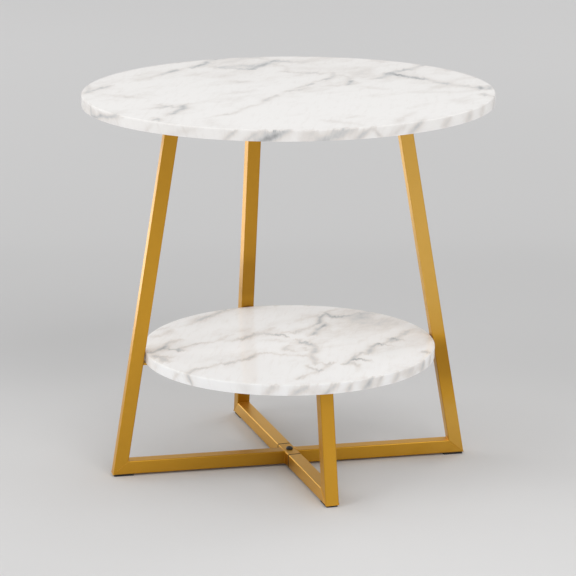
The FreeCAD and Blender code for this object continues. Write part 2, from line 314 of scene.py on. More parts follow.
    def shade(self, **values: Feed) -> Material:
        """Sets inputs of the shader, named with _ for a space.

        Args:
            values: Values or links of the inputs.

        Returns:
            The finished material.
        """
        for key, value in values.items():
            self.feed(self.shader.inputs[key.replace("_", " ")], value)
        return self.material


# Steps down a rim, each with the share of a mark's strength there.
RIM_STEPS = ((-0.15, 0.0), (0.12, 0.6), (0.5, 1.0), (0.9, 0.8), (1.25, 0.0))


@dataclass(frozen=True)
class Vein:
    """One vein drawn on the flat film, before the film is pressed over its board.

    Attributes:
        points: Places from the board's centre, each with the strength there.
        width: Half width of the vein.
        flare: Factor by which the vein is drawn wider than that.
        fall: How fast its strength falls off across it.
    """

    points: tuple[Place, ...]
    width: float
    flare: float = 1.25
    fall: float = 1.6

    @classmethod
    def layout(cls, radius: float, lines: Sequence[Line], marks: Sequence[Mark]) -> tuple["Vein", ...]:
        """Lays out the veins of a board.

        Args:
            radius: Radius of the board.
            lines: Veins on the surface.
            marks: Marks on the rim.

        Returns:
            All veins of the board.
        """
        drawn = [
            cls(((*first, 0.0), *between, (*last, 0.0)), width) for width, first, *between, last in lines
        ]
        return (*drawn, *(cls.down_rim(radius, *mark) for mark in marks))

    @classmethod
    def down_rim(cls, radius: float, upper: float, lower: float, strength: float, width: float) -> "Vein":
        """Draws a mark that runs down a board's rim.

        Args:
            radius: Radius of the board.
            upper: Bearing where the mark leaves the surface.
            lower: Bearing where it meets the underside.
            strength: Strength halfway down.
            width: Half width of the mark.

        Returns:
            The mark as a vein.
        """
        points = []
        for step, share in RIM_STEPS:
            bearing = math.radians(upper + (lower - upper) * step)
            reach = (radius + BOARD_THICKNESS * step) * MM_PER_METRE
            points.append((reach * math.cos(bearing), reach * math.sin(bearing), strength * share))
        return cls(tuple(points), width)

    def draw(self, graph: Graph, at: NodeSocket) -> NodeSocket:
        """Adds the vein to a material.

        Args:
            graph: Material that gets the vein.
            at: Place on the flat film.

        Returns:
            Strength of the vein at that place.
        """
        start = Vector(self.points[0][:2])
        chord = Vector(self.points[-1][:2]) - start
        along = chord.normalized()
        across = Vector((-along.y, along.x))
        places = [Vector(point[:2]) - start for point in self.points]
        steps = [place.dot(along) / chord.length for place in places]
        swings = [place.dot(across) for place in places]
        room = 2.0 * max(1.0, *(abs(swing) for swing in swings))
        corner = start - across * room / 2.0
        local = graph.vector("SUBTRACT", at, (*corner, 0.0))
        step = graph.vector("DOT_PRODUCT", local, (*(along / chord.length), 0.0))
        width = self.width * self.flare
        swing = graph.vector("DOT_PRODUCT", local, (*(across / width), 0.0))
        line = graph.curve(step, [(s, t / room + 0.5) for s, t in zip(steps, swings)])
        strengths = [point[2] / FULL_STRENGTH for point in self.points]
        strength = graph.curve(step, list(zip(steps, strengths)))
        offset = graph.math("MULTIPLY_ADD", line, -room / width, swing)
        spread = graph.math("MULTIPLY_ADD", offset, offset, 1.0)
        return graph.math("DIVIDE", strength, graph.math("POWER", spread, self.fall))


# Each line has its half width, then its points with the strength between both ends. Each mark on a rim
# has its upper and lower bearing, its strength and its half width.
TOP_LINES = (
    (6, (-195, 140), (-180, 155, 15), (-150, 182, 25), (-133, 197, 52), (-124, 205, 60), (-115, 213, 70),
     (-104, 222, 50), (-95, 228, 20), (-84, 230, 45), (-75, 237, 64), (-68, 247, 78), (-60, 256, 50),
     (-52, 263, 64), (-46, 272, 48), (-36, 284, 22), (-15, 302, 20), (0, 318)),
    (7, (-62, 243), (-45, 225, 22), (-38, 213, 34), (-24, 205, 35), (-8, 191, 60), (3, 188, 62),
     (14, 196)),
    (10, (-60, 238), (-32, 226, 28), (-5, 226, 32), (12, 216, 28), (25, 212)),
    (6, (-5, 183), (8, 198, 40), (17, 207, 42), (26, 217, 66), (31, 224, 62), (40, 235, 50),
     (47, 243, 36), (56, 252, 10), (66, 266)),
    (8, (46, 247), (60, 246, 42), (75, 237, 33), (90, 228, 15), (105, 220)),
    (7, (62, 245), (45, 270, 20), (32, 293, 22), (22, 320)),
    (5.5, (-285, 62), (-276, 82, 28), (-267, 91, 50), (-260, 98, 50), (-252, 106, 64), (-240, 116, 38),
     (-228, 130)),
    (5, (-276, 130), (-272, 115, 30), (-276, 96, 20), (-281, 70, 15), (-284, 55)),
    (7, (-268, 65), (-250, 38, 15), (-225, 15, 15), (-205, 0)),
    (6, (-245, -78), (-225, -75, 22), (-210, -72, 40), (-198, -69, 42), (-188, -76, 25), (-175, -84)),
    (6, (-172, -58), (-177, -68, 35), (-182, -80, 56), (-185, -91, 66), (-195, -105, 55),
     (-204, -115, 66), (-210, -122, 62), (-218, -132, 25), (-228, -142)),
    (6, (-206, -38), (-205, -55, 28), (-200, -72)),
    (5, (-182, -78), (-174, -62, 35), (-160, -54, 12), (-145, -50)),
    (5, (-240, -132), (-237, -143, 30), (-235, -155, 60), (-233, -165, 30), (-231, -178)),
    (4.5, (-185, -175), (-165, -166, 12), (-150, -161, 20), (-135, -153, 28), (-116, -138, 20),
     (-101, -117, 28), (-86, -103, 26), (-70, -90, 20), (-58, -69, 30), (-50, -60, 46), (-40, -48, 42),
     (-28, -36, 38), (-15, -22, 10), (-5, -6, 20), (6, 5, 20), (20, 15, 32), (35, 30, 35), (48, 42, 48),
     (56, 52, 25), (70, 61, 34), (85, 71, 50), (93, 82, 46), (100, 95, 38), (105, 110, 30), (108, 130)),
    (4, (-8, -10), (8, -3, 25), (20, 0, 28), (28, 8, 24), (36, 20)),
    (5, (108, 110), (113, 95, 25), (118, 80, 26), (116, 68, 26), (110, 52, 16), (104, 40)),
    (4.5, (116, 52), (112, 44, 50), (107, 35, 72), (101, 22, 45), (95, 10)),
    (7, (50, 14), (65, 17, 15), (90, 14, 16), (112, 22, 20), (125, 32)),
    (6, (112, 5), (120, -12, 14), (132, -32, 15), (140, -48)),
    (6, (104, 102), (86, 120, 22), (68, 131, 25), (52, 142, 20), (42, 152, 28), (35, 165)),
    (6, (40, 140), (48, 165, 16), (54, 190, 18), (46, 215, 20), (40, 232)),
    (5.5, (135, 45), (150, 52, 25), (165, 59, 35), (175, 71, 28), (183, 85, 40), (190, 93, 42),
     (200, 100, 48), (212, 105, 54), (222, 110, 60), (235, 116, 42), (250, 130, 32), (262, 141, 35),
     (280, 152, 20), (300, 165)),
    (7, (182, 100), (190, 80, 60), (197, 68, 90), (203, 55, 80), (210, 43, 80), (218, 30, 72),
     (222, 18, 40), (226, 4, 30), (232, -8, 35), (241, -23, 30), (250, -38, 30), (262, -56, 30),
     (275, -75, 20), (290, -95)),
    (5.5, (276, -45), (272, -56, 45), (270, -70, 58), (267, -79, 45), (264, -90)),
    (5, (291, -50), (288, -62, 40), (284, -74, 45), (280, -90)),
    (5, (257, -104), (258, -115, 45), (260, -125, 58), (263, -133, 25), (266, -145)),
    (8, (202, 225), (206, 208, 22), (210, 190, 22), (214, 172)),
    (8, (276, 70), (281, 86, 28), (287, 98, 20), (292, 112)),
    (8, (150, -72), (190, -78, 10), (225, -88, 13), (262, -80, 12), (275, -80)),
    (8, (-26, -222), (-14, -242, 18), (0, -256, 16), (12, -272, 16), (20, -290)),
    (8, (10, -232), (24, -222, 20), (35, -208)),
    (6, (60, -290), (72, -270, 24), (82, -251, 22), (95, -242, 15), (108, -225, 12), (115, -205)),
    (5, (92, -296), (102, -279, 26), (110, -264, 15), (118, -250)),
    (10, (-160, -168), (-170, -190, 10), (-172, -212, 14), (-160, -235, 10), (-150, -250)),
    (20, (-85, 128), (-62, 142, 15), (-40, 158, 13), (-10, 165, 8), (20, 180)),
    (9, (-75, 105), (-55, 94, 16), (-38, 84, 14), (-25, 75)),
    (8, (-110, -4), (-90, 2, 12), (-72, 6, 20), (-52, 14, 14), (-35, 22)),
    (20, (55, 195), (80, 172, 12), (110, 160, 12), (140, 150)),
)

TOP_RIM_MARKS = (
    # The broad first mark, at -177, is partly a grey cloud of the print and partly painted shade that dims
    # the lamps' glint on the far left of the rim.
    (-177, -177, 22, 50), (-176, -175, 25, 4), (-158, -175, 50, 2.8), (-145, -149, 15, 4),
    (-131, -139, 20, 5), (-121, -124, 50, 3), (-115, -119, 45, 3.5), (-107, -115, 75, 6),
    (-112, -114, 40, 9), (-100, -104, 30, 10), (-90, -99, 68, 6.5), (-85, -90, 50, 4), (-85, -82, 35, 3),
    (-75, -80, 28, 5), (-70, -74, 48, 4.5), (-59, -62, 30, 8), (-49, -52, 35, 7), (-40, -43, 30, 8),
    (-27, -31, 35, 4), (-12, -15, 20, 9), (3, -3, 45, 4), (14, 11, 30, 6), (31, 25, 50, 3.5),
    (44, 41, 18, 12), (58, 50, 45, 5), (69, 66, 30, 7), (84, 77, 50, 4), (97, 94, 22, 10),
    (108, 101, 50, 4.5), (117, 115, 35, 6), (131, 124, 55, 4), (142, 139, 25, 9), (155, 148, 45, 4),
    (168, 165, 30, 6),
)

SHELF_LINES = (
    (5.5, (-228, 2), (-217, 10, 45), (-208, 15, 50), (-198, 22, 52), (-190, 30, 62), (-182, 40, 52),
     (-175, 50, 46), (-165, 58, 42), (-155, 65, 30), (-142, 73)),
    (5, (-188, 42), (-180, 32, 30), (-172, 22, 55), (-163, 12, 48), (-157, 2)),
    (4.5, (-168, 10), (-158, 20, 30), (-145, 28, 30), (-132, 35, 40), (-120, 38, 22), (-105, 41, 15),
     (-95, 46, 20), (-85, 55, 20), (-75, 62, 18), (-62, 70)),
    (5.5, (-210, 5), (-206, -9, 40), (-202, -20, 45), (-200, -34, 42), (-195, -48)),
    (5, (-222, -4), (-205, -10, 20), (-188, -15, 20), (-172, -10)),
    (6, (-200, 94), (-185, 95, 15), (-170, 98, 22), (-156, 107, 32), (-148, 118, 25), (-143, 130)),
    (6, (-180, 130), (-165, 132, 20), (-150, 136, 15), (-135, 142)),
    (5.5, (-140, 132), (-125, 140, 10), (-110, 150, 20), (-98, 160, 38), (-88, 168, 46), (-78, 175, 52),
     (-69, 181, 40), (-61, 189, 40), (-52, 198, 40), (-45, 205, 48), (-35, 210, 34), (-22, 217, 20),
     (-5, 224)),
    (6, (-92, 36), (-80, 40, 20), (-65, 42, 32), (-55, 45, 48), (-45, 50, 55), (-37, 56, 40),
     (-26, 60, 30), (-18, 56, 40), (-10, 52, 60), (-2, 48, 75), (4, 40, 68), (9, 30)),
    (6, (-30, 60), (-18, 68, 15), (-8, 76, 20), (4, 88)),
    (6, (-45, 20), (-25, 25, 14), (-5, 12, 14), (8, 0)),
    (5, (2, 46), (12, 55, 25), (25, 53, 32), (36, 58, 32), (46, 64, 25), (56, 66)),
    (5.2, (40, 22), (46, 32, 45), (52, 40, 62), (58, 48, 48), (65, 58, 58), (72, 65, 66), (78, 71, 66),
     (83, 80, 35), (88, 90)),
    (4.2, (46, 64), (55, 71, 30), (62, 78, 38), (70, 86, 48), (76, 93, 60), (80, 103, 62), (84, 115, 52),
     (88, 125, 55), (95, 132, 58), (102, 137, 55), (104, 146, 48), (111, 153, 30), (122, 160, 20),
     (136, 166)),
    (4, (100, 140), (104, 130, 36), (106, 120, 30), (112, 112)),
    (5, (100, 118), (110, 115, 42), (118, 113, 44), (128, 120, 34), (140, 122, 28), (152, 125, 24),
     (165, 120, 20), (176, 115, 20), (192, 108)),
    (6, (165, 115), (155, 104, 12), (147, 92)),
    (30, (85, 55), (120, 90, 12), (160, 108, 10), (210, 120)),
    (24, (60, 0), (110, 25, 12), (160, 55, 14), (215, 75)),
    (4, (12, 20), (15, 9, 35), (17, -5, 30), (18, -16)),
    (5.5, (20, 0), (25, -11, 40), (29, -21, 35), (31, -32, 32), (28, -45, 42), (22, -58, 48),
     (15, -68, 42), (10, -79, 35), (7, -95, 36), (5, -107, 22), (2, -120)),
    (5.5, (0, -8), (-7, -18, 30), (-13, -28, 36), (-10, -40, 34), (-4, -50)),
    (5, (14, -30), (15, -40, 30), (18, -50)),
    (4.5, (2, -100), (5, -110, 20), (12, -118, 26), (22, -123, 32), (32, -128)),
    (4, (26, -120), (18, -131, 25), (8, -143, 20), (0, -150, 30), (-10, -158, 22), (-25, -168, 22),
     (-36, -175, 38), (-46, -182)),
    (4, (-14, -115), (-12, -126, 30), (-8, -138, 36), (-1, -149, 30), (4, -158)),
    (4.2, (36, -132), (45, -128, 55), (52, -122, 55), (60, -118, 68), (68, -115, 85), (75, -118, 66),
     (82, -123, 35), (92, -128)),
    (3.8, (55, -120), (62, -110, 55), (68, -102, 60), (75, -95, 52), (83, -87, 36), (92, -80)),
    (5.2, (86, -98), (92, -92, 36), (98, -85, 55), (103, -75, 52), (110, -62, 46), (118, -53, 60),
     (125, -50, 62), (131, -55, 55), (137, -60, 32), (145, -66)),
    (5.2, (122, -50), (132, -48, 36), (141, -45, 36), (148, -36, 55), (153, -29, 70), (160, -24, 50),
     (170, -12, 40), (178, -5, 48), (184, 2, 40), (194, 12, 20), (206, 20)),
    (4, (152, -22), (158, -28, 40), (163, -36, 40), (168, -46)),
    (4.5, (52, -126), (55, -137, 36), (58, -150, 18), (55, -168, 10), (54, -185)),
    (4.5, (-196, -118), (-182, -105, 40), (-175, -95, 40), (-167, -89, 34), (-156, -90, 42),
     (-148, -88, 40), (-138, -81, 28), (-122, -80, 36), (-110, -72, 32), (-95, -66, 38), (-85, -62, 50),
     (-76, -56, 52), (-69, -48, 42), (-60, -40, 20), (-50, -36)),
    (4.5, (-62, -42), (-48, -38, 28), (-38, -47, 28), (-28, -57, 26), (-15, -65, 18), (-3, -70, 26),
     (8, -74)),
    (5, (172, -100), (177, -109, 55), (182, -118)),
)

SHELF_RIM_MARKS = (
    (-169, -171, 15, 5), (-154, -158, 25, 4), (-149, -147, 40, 2.2), (-122, -125, 12, 14),
    (-111, -116, 40, 5), (-101, -106, 50, 5), (-96, -99, 20, 14), (-89, -94, 50, 4.5), (-83, -85, 45, 4),
    (-74, -79, 40, 4.5), (-69, -72, 40, 4.5), (-74, -77, 22, 18), (-60, -64, 40, 5), (-52, -55, 25, 14),
    (-42, -45, 45, 6), (-33, -36, 40, 6), (-20, -25, 30, 5), (-8, -10, 18, 12), (9, 3, 45, 4),
    (22, 19, 30, 7), (38, 31, 50, 4), (52, 49, 20, 11), (66, 59, 45, 4.5), (79, 76, 35, 6),
    (93, 85, 50, 4), (106, 103, 25, 9), (121, 113, 50, 4.5), (133, 131, 30, 7), (149, 141, 50, 4),
    (163, 160, 30, 6), (177, 171, 40, 4.5),
)


class Finish(ABC):
    """A finish that dresses pieces of the table."""

    @abstractmethod
    def material(self, name: str) -> Material:
        """Builds the finish's material.

        Args:
            name: Name of the material.

        Returns:
            The material.
        """


@dataclass(frozen=True)
class MarbleFilm(Finish):
    """Glossy printed film: soft grey veins on white, greyer towards one side.

    Attributes:
        surface: Height of the board's surface.
        veins: Veins printed on the film.
        lean: Direction on the board in which the white turns greyer.
        cast: How far it turns.
        cloud: Strength of the soft patches on the white.
        grain: Bearing of the film's grain.
        ground: White of the film.
        blush: Tint of the faintest clouds and veins.
        grey: Tint of pale veins.
        vein: Tint of clear veins.
        dark: Tint of the strongest veins.
        gloss: Roughness of the film.
        sheen: Level of its reflections.
        wander: How far the veins wander.
        fray: How far they fray on the surface.
        rim_fray: How far they fray on the rim.
    """

    surface: float
    veins: tuple[Vein, ...]
    lean: tuple[float, float] = (0.3, 0.9)
    cast: float = 0.05
    cloud: float = 0.3
    grain: float = 66.0
    ground: Colour = (0.93, 0.913, 0.896)
    blush: Colour = (0.80, 0.765, 0.735)
    grey: Colour = (0.65, 0.645, 0.64)
    vein: Colour = (0.49, 0.492, 0.495)
    dark: Colour = (0.34, 0.342, 0.345)
    gloss: float = 0.1
    sheen: float = 0.045
    wander: float = 0.016
    fray: float = 0.036
    rim_fray: float = 0.008

    def material(self, name: str) -> Material:
        """Builds the film's material.

        Args:
            name: Name of the material.

        Returns:
            The material.
        """
        graph = Graph(name)
        flat, drop = self.unwrapped(graph)
        place = graph.vector("SCALE", self.feathered(graph, flat, drop), MM_PER_METRE)
        tone = self.veins[0].draw(graph, place)
        for vein in self.veins[1:]:
            tone = graph.math("ADD", tone, vein.draw(graph, place))
        breaks = graph.noise(flat, scale=45.0, detail=5.0, rough=0.6)
        tone = graph.math("MULTIPLY", tone, graph.span(breaks, NOISE_LOW, NOISE_HIGH, 0.65, 1.2))
        tone = graph.math("ADD", tone, self.clouds(graph, flat), clamp=True)
        tints = (self.ground, self.blush, self.grey, self.vein, self.dark)
        colour = graph.ramp(tone, [(index / (len(tints) - 1), tint) for index, tint in enumerate(tints)])
        graph.bump(graph.noise(graph.place, scale=160.0, detail=1.0), FINE_RELIEF)
        return graph.shade(Base_Color=colour, Roughness=self.gloss, Specular_IOR_Level=self.sheen)

    def feathered(self, graph: Graph, flat: NodeSocket, drop: NodeSocket) -> NodeSocket:
        """Shifts places, so that veins drawn there wander and fray along the film's grain.

        Args:
            graph: Material that gets the nodes.
            flat: Place on the flat film.
            drop: Depth below the board's surface, where the veins fray less.

        Returns:
            The shifted place.
        """
        sway = graph.vector("SUBTRACT", graph.noise(flat, scale=14.0, output="Color"), (0.5, 0.5, 0.5))
        place = graph.vector("ADD", flat, graph.vector("SCALE", sway, self.wander))
        brushed = graph.brushed(flat, self.grain, along=28.0, across=110.0)
        grain = graph.noise(brushed, scale=1.0, detail=3.0, rough=0.6)
        fray = graph.span(drop, low=0.0005, high=0.004, start=self.fray, end=self.rim_fray)
        slide = graph.math("MULTIPLY", graph.math("SUBTRACT", grain, 0.5), fray)
        bearing = math.radians(self.grain)
        way = (math.cos(bearing), math.sin(bearing), 0.0)
        return graph.vector("ADD", place, graph.vector("SCALE", way, slide))

    def clouds(self, graph: Graph, flat: NodeSocket) -> NodeSocket:
        """Clouds the white: soft patches, fine streaks along the grain and a cast towards one side.

        Args:
            graph: Material that gets the nodes.
            flat: Place on the flat film.

        Returns:
            Strength of the clouds.
        """
        side = graph.vector("DOT_PRODUCT", flat, (*self.lean, 0.0))
        slant = graph.brushed(flat, self.grain - 25.0, along=8.0, across=15.0)
        patch = graph.noise(slant, scale=1.0, detail=5.0, rough=0.62)
        patch = graph.math("MULTIPLY_ADD", side, 0.25, patch)
        patch = graph.span(patch, low=0.47, high=0.8, start=0.0, end=self.cloud)
        brushed = graph.brushed(flat, self.grain, along=22.0, across=130.0)
        streak = graph.noise(brushed, scale=1.0, detail=3.0, rough=0.6)
        streak = graph.span(streak, low=0.48, high=0.8, start=0.0, end=0.09)
        cast = graph.span(side, low=-0.12, high=0.3, start=0.0, end=self.cast)
        return graph.math("ADD", graph.math("ADD", patch, streak), cast)

    def unwrapped(self, graph: Graph) -> tuple[NodeSocket, NodeSocket]:
        """Lays the film flat, so that the rim carries on from the surface.

        Args:
            graph: Material that gets the nodes.

        Returns:
            Place on the flat film and depth below the board's surface.
        """
        spot = graph.vector("MULTIPLY", graph.place, Run.REACH.value)
        reach = graph.math("MAXIMUM", graph.vector("LENGTH", spot), 0.05)
        rise = graph.vector("DOT_PRODUCT", graph.place, Run.HEIGHT.value)
        drop = graph.math("MAXIMUM", graph.math("SUBTRACT", self.surface, rise), 0.0)
        stretch = graph.math("ADD", graph.math("DIVIDE", drop, reach), 1.0)
        return graph.vector("SCALE", spot, stretch), drop


@dataclass(frozen=True)
class SpeckledCoat(Finish):
    """A coat whose colour, gloss and relief vary finely, from melamine to rubber.

    Attributes:
        light: Lighter of its two tones.
        deep: Deeper of its two tones.
        roughness: Least and greatest roughness.
        metallic: 1 for a metal.
        grain: Features of its grain per metre.
        breadth: How much broader its soft patches are.
        relief: Depth of the grain.
    """

    light: Colour
    deep: Colour
    roughness: tuple[float, float]
    metallic: float = 0.0
    grain: float = 900.0
    breadth: float = 22.0
    relief: float = FINE_RELIEF

    def material(self, name: str) -> Material:
        """Builds the coat's material.

        Args:
            name: Name of the material.

        Returns:
            The material.
        """
        graph = Graph(name)
        fine = graph.noise(graph.place, scale=self.grain)
        broad = graph.noise(graph.place, scale=self.grain / self.breadth, detail=3.0)
        blend = graph.math("MULTIPLY_ADD", fine, 0.4, graph.math("MULTIPLY", broad, 0.6))
        colour = graph.ramp(blend, ((NOISE_LOW, self.deep), (NOISE_HIGH, self.light)))
        rough = graph.span(broad, NOISE_LOW, NOISE_HIGH, *self.roughness)
        graph.bump(fine, self.relief)
        return graph.shade(Base_Color=colour, Roughness=rough, Metallic=self.metallic)


@dataclass(frozen=True)
class GoldCoat(Finish):
    """Satin gold coat on a steel tube, whose tone can change along the tube as painted shade and painted
    reflection.

    Attributes:
        run: What the drift follows.
        tones: Places along the run with the coat's tone there, from 0 deep to 1 pale; this tone is painted
            shade and painted reflection.
        deep: Colour of tone 0.
        middle: Colour of tone 0.5.
        pale: Colour of tone 1.
        roughness: Least and greatest roughness.
        lacquer: Share of clear lacquer over the coat.
        lacquer_roughness: Roughness of the lacquer.
        edge: Tint of the coat seen at a flat angle.
    """

    run: Run = Run.HEIGHT
    tones: tuple[tuple[float, float], ...] = ((0.0, 0.5), (0.6, 0.5))
    deep: Colour = (0.42, 0.202, 0.011)
    middle: Colour = (0.64, 0.33, 0.026)
    pale: Colour = (0.80, 0.49, 0.115)
    roughness: tuple[float, float] = (0.42, 0.47)
    lacquer: float = 0.28
    lacquer_roughness: float = 0.3
    edge: Colour = (1.0, 0.96, 0.84)

    def material(self, name: str) -> Material:
        """Builds the coat's material.

        Args:
            name: Name of the material.

        Returns:
            The material.
        """
        graph = Graph(name)
        way = graph.vector("MULTIPLY", graph.place, self.run.value)
        # The tone along the run is painted shade and painted reflection; the fine and broad noise below is
        # the coat's own variation.
        tone = graph.profile(graph.vector("LENGTH", way), self.tones)
        fine = graph.noise(graph.place, scale=900.0)
        broad = graph.noise(graph.place, scale=40.0, detail=3.0)
        tone = graph.math("ADD", tone, graph.math("MULTIPLY_ADD", fine, 0.08, -0.04))
        tone = graph.math("ADD", tone, graph.math("MULTIPLY_ADD", broad, 0.12, -0.06), clamp=True)
        colour = graph.ramp(tone, ((0.0, self.deep), (0.5, self.middle), (1.0, self.pale)))
        rough = graph.span(broad, NOISE_LOW, NOISE_HIGH, *self.roughness)
        graph.bump(fine, FINE_RELIEF)
        return graph.shade(
            Base_Color=colour, Roughness=rough, Metallic=1.0, Specular_Tint=(*self.edge, 1.0),
            Coat_Weight=self.lacquer, Coat_Roughness=self.lacquer_roughness,
        )


MELAMINE = SpeckledCoat((0.84, 0.83, 0.81), (0.80, 0.79, 0.77), (0.45, 0.55), grain=1500.0)
BLACK_OXIDE = SpeckledCoat((0.030, 0.029, 0.028), (0.014, 0.014, 0.014), (0.35, 0.5), grain=2500.0)
ZINC_PLATE = SpeckledCoat((0.66, 0.66, 0.67), (0.52, 0.53, 0.55), (0.3, 0.45), 1.0, grain=1800.0)
FOOT_RUBBER = SpeckledCoat((0.022, 0.021, 0.021), (0.012, 0.012, 0.012), (0.75, 0.9), grain=2200.0)


def dress(piece: Object, material: Material) -> None:
    """Gives all faces of a piece one material.

    Args:
        piece: Piece to dress.
        material: Its material.
    """
    piece.data.materials.clear()
    piece.data.materials.append(material)


def clear_choice(kind: str) -> None:
    """Deselects all of the active piece, which is in object mode before and after.

    Args:
        kind: What is selected next, FACE or EDGE.
    """
    bpy.ops.object.mode_set(mode="EDIT")
    bpy.ops.mesh.select_mode(type=kind)
    bpy.ops.mesh.select_all(action="DESELECT")
    bpy.ops.object.mode_set(mode="OBJECT")


def pick_faces(piece: Object, test: Callable[[Vector], bool]) -> None:
    """Selects faces of the active piece and goes to edit mode.

    Args:
        piece: Active piece, in object mode.
        test: Says from a face's normal whether to take it.
    """
    clear_choice("FACE")
    for face in piece.data.polygons:
        face.select = test(face.normal)
    bpy.ops.object.mode_set(mode="EDIT")


def pick_edges(piece: Object, test: Callable[[Vector], bool]) -> None:
    """Selects edges of the active piece and goes to edit mode.

    Args:
        piece: Active piece, in object mode.
        test: Says from an end's place whether to take it; an edge needs both ends.
    """
    clear_choice("EDGE")
    ends = piece.data.vertices
    for edge in piece.data.edges:
        edge.select = all(test(ends[end].co) for end in edge.vertices)
    bpy.ops.object.mode_set(mode="EDIT")


def close_up() -> None:
    """Joins the points that meet and turns the faces outwards, from edit mode to object mode."""
    bpy.ops.mesh.select_all(action="SELECT")
    bpy.ops.mesh.remove_doubles(threshold=1e-6)
    bpy.ops.mesh.normals_make_consistent(inside=False)
    bpy.ops.object.mode_set(mode="OBJECT")


def activate(piece: Object) -> None:
    """Makes a piece the only one selected, and the active one.

    Args:
        piece: Piece to work on.
    """
    bpy.ops.object.select_all(action="DESELECT")
    piece.select_set(True)
    bpy.context.view_layer.objects.active = piece


def copies(piece: Object, count: int) -> list[Object]:
    """Copies a piece, each copy with its own mesh.

    Args:
        piece: Piece to copy.
        count: Number of pieces wanted, the first one included.

    Returns:
        The piece and its copies.
    """
    pieces = [piece]
    while len(pieces) < count:
        activate(piece)
        bpy.ops.object.duplicate()
        pieces.append(bpy.context.active_object)
    return pieces


def settle(piece: Object, name: str, material: Material) -> None:
    """Finishes a new piece: its place goes into its mesh, and it rides on the table.

    Args:
        piece: New piece, in object mode.
        name: Name of the piece.
        material: Its material.
    """
    activate(piece)
    bpy.ops.object.transform_apply(location=True, rotation=True, scale=True)
    piece.name = name
    piece.data.name = name
    dress(piece, material)
    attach(piece, BODY)


@dataclass(frozen=True)
class Drum:
    """A drum about the Z axis, open at one end and rounded at the other.

    Attributes:
        radius: Radius of the drum.
        height: Height of the drum.
        middle: Height of its middle.
        open_way: 1 if it is open above, -1 if below.
        rounding: Radius of the rounded edge.
        steps: Steps of the rounding.
        sides: Sides of the drum.
    """

    radius: float
    height: float
    middle: float
    open_way: float
    rounding: float
    steps: int
    sides: int

    def model(self) -> Object:
        """Models the drum.

        Returns:
            The drum as the active piece, in object mode.
        """
        bpy.ops.object.select_all(action="DESELECT")
        bpy.ops.mesh.primitive_cylinder_add(
            vertices=self.sides, radius=self.radius, depth=self.height, location=(0.0, 0.0, self.middle)
        )
        piece = bpy.context.active_object
        bpy.ops.object.transform_apply(location=True)
        pick_faces(piece, lambda normal: normal.z * self.open_way > 0.9)
        bpy.ops.mesh.delete(type="FACE")
        bpy.ops.object.mode_set(mode="OBJECT")
        pick_edges(piece, lambda end: (end.z - self.middle) * self.open_way < 0.0)
        bpy.ops.mesh.bevel(offset=self.rounding, segments=self.steps, affect="EDGES")
        bpy.ops.object.mode_set(mode="OBJECT")
        return piece


@dataclass
class Board:
    """A round board: a core from the part, with a marble film pressed over its surface and rim.

    Attributes:
        label: Name of the board in the part.
        radius: Radius of the board.
        surface: Height of its surface.
        finish: Finish of the film.
        thickness: Thickness of the board.
        film: Thickness of the film.
        edge_round: Radius of the film's upper edge.
        lip: Width of the ring of faces beside that edge.
        middle_share: Width of the next ring, as a share of the radius.
    """

    label: str
    radius: float
    surface: float
    finish: MarbleFilm
    thickness: float = BOARD_THICKNESS
    film: float = 0.0005
    edge_round: float = 0.002
    lip: float = 0.004
    middle_share: float = 0.45

    def build(self, core_material: Material) -> None:
        """Presses the film and dresses the core, and the plain film that the new one replaces.

        Args:
            core_material: Material of the core.
        """
        for node in (f"{self.label}_core", f"{self.label}_film"):
            dress(frame["nodes"][node], core_material)
        piece = self.press_film()
        marble = self.finish.material(f"{self.label}_marble")
        settle(piece, f"{self.label}_marble_film", marble)
        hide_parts(f"{self.label}_film")

    def press_film(self) -> Object:
        """Models the film from a drum: open below, its upper edge rounded, then given its thickness.

        Returns:
            The film.
        """
        middle = self.surface - self.thickness / 2.0
        drum = Drum(self.radius, self.thickness, middle, -1.0, self.edge_round, steps=5, sides=256)
        piece = drum.model()
        pick_faces(piece, lambda normal: normal.z > 0.999)
        bpy.ops.mesh.inset(thickness=self.lip, depth=0.0)
        bpy.ops.mesh.inset(thickness=self.radius * self.middle_share, depth=0.0)
        bpy.ops.mesh.poke()
        close_up()
        shell = piece.modifiers.new("film", "SOLIDIFY")
        shell.thickness = self.film
        shell.offset = -1.0
        shell.use_even_offset = True
        bpy.ops.object.modifier_apply(modifier=shell.name)
        bpy.ops.object.shade_smooth_by_angle(angle=math.radians(40.0))
        return piece


